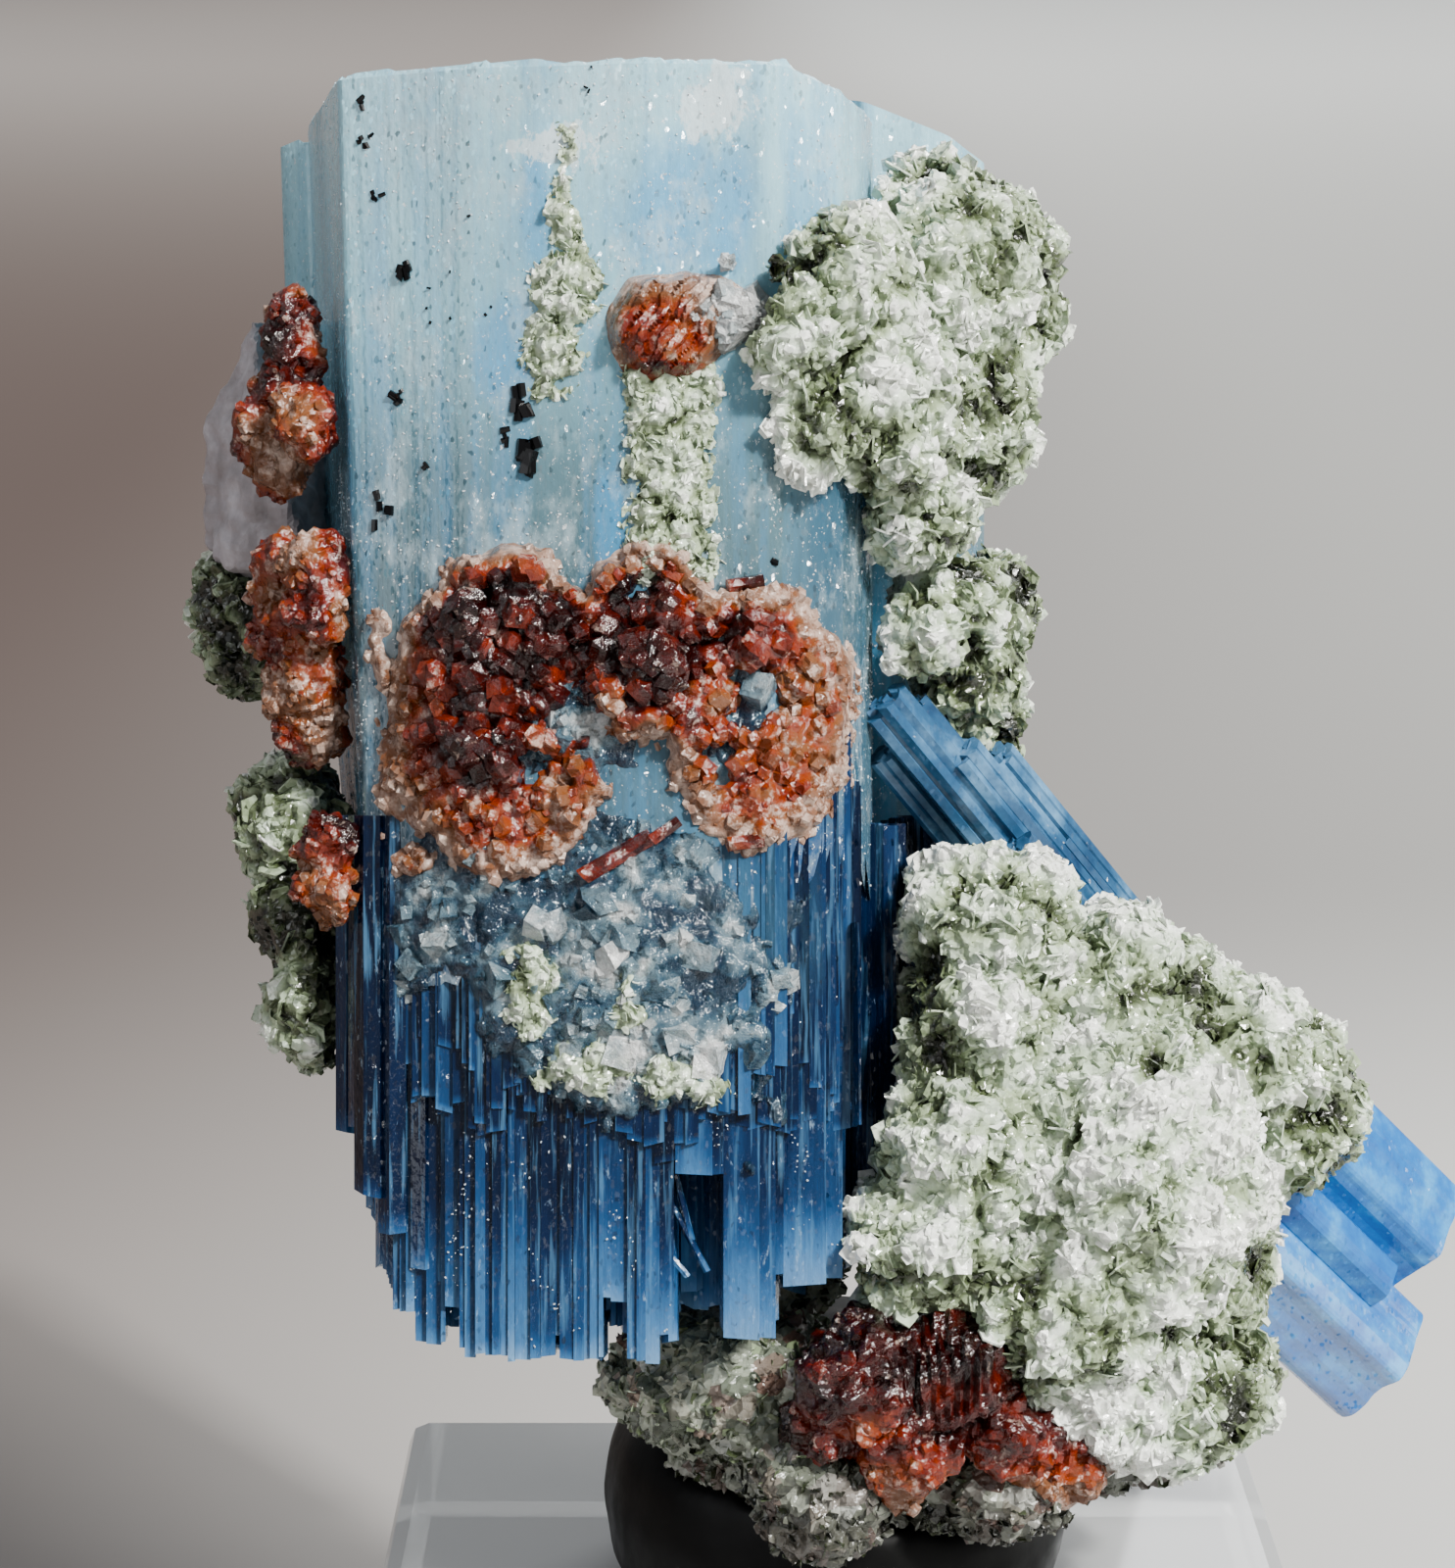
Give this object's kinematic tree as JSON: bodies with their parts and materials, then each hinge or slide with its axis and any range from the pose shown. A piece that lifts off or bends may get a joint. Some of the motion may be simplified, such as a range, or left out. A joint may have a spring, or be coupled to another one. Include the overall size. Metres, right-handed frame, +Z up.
{
  "type": "aquamarine specimen with garnet",
  "caption": "Miniature mineral specimen: blue-green beryl crystals grown with garnet and silvery mica, held upright in black putty on a square clear acrylic block.",
  "frame": {"origin": "centre of the underside of the square acrylic block", "axes": "+Z up, -Y towards the front that the specimen shows, +X to the viewer's right; the block's sides run along X and Y"},
  "size_m": [0.0352, 0.0254, 0.0511],
  "materials": {
    "pale aquamarine": "striated prism faces, cloudy pale blue",
    "deep aquamarine": "lustrous clear deep blue rods",
    "garnet": "glossy orange to dark red grains with etched rims",
    "schorl": "black, lustrous",
    "feldspar": "cleaved, pale grey with a lilac tint",
    "mica": "pearly silver-green flakes in rosettes",
    "matrix": "granular, grey, sparkling",
    "putty": "smooth black, slightly glossy",
    "clear acrylic": "polished, clear"
  },
  "bodies": {
    "root": {"aquamarine_main": "pale aquamarine", "aquamarine_back": "pale aquamarine", "aquamarine_slanted": "deep aquamarine", "aquamarine_inner": "deep aquamarine", "garnet_front": "garnet", "garnet_upper": "garnet", "garnet_left_upper": "garnet", "garnet_left_lower": "garnet", "garnet_edge": "garnet", "garnet_bottom": "garnet", "schorl_upper": "schorl", "schorl_lower": "schorl", "feldspar_block": "feldspar", "mica_upper": "mica", "mica_middle": "mica", "mica_lower": "mica", "mica_left_upper": "mica", "mica_left_lower": "mica", "mica_seam": "mica", "mica_pillar": "mica", "mica_crust": "mica", "matrix": "matrix", "putty_mount": "putty", "display_base": "clear acrylic"}
  },
  "joints": []
}
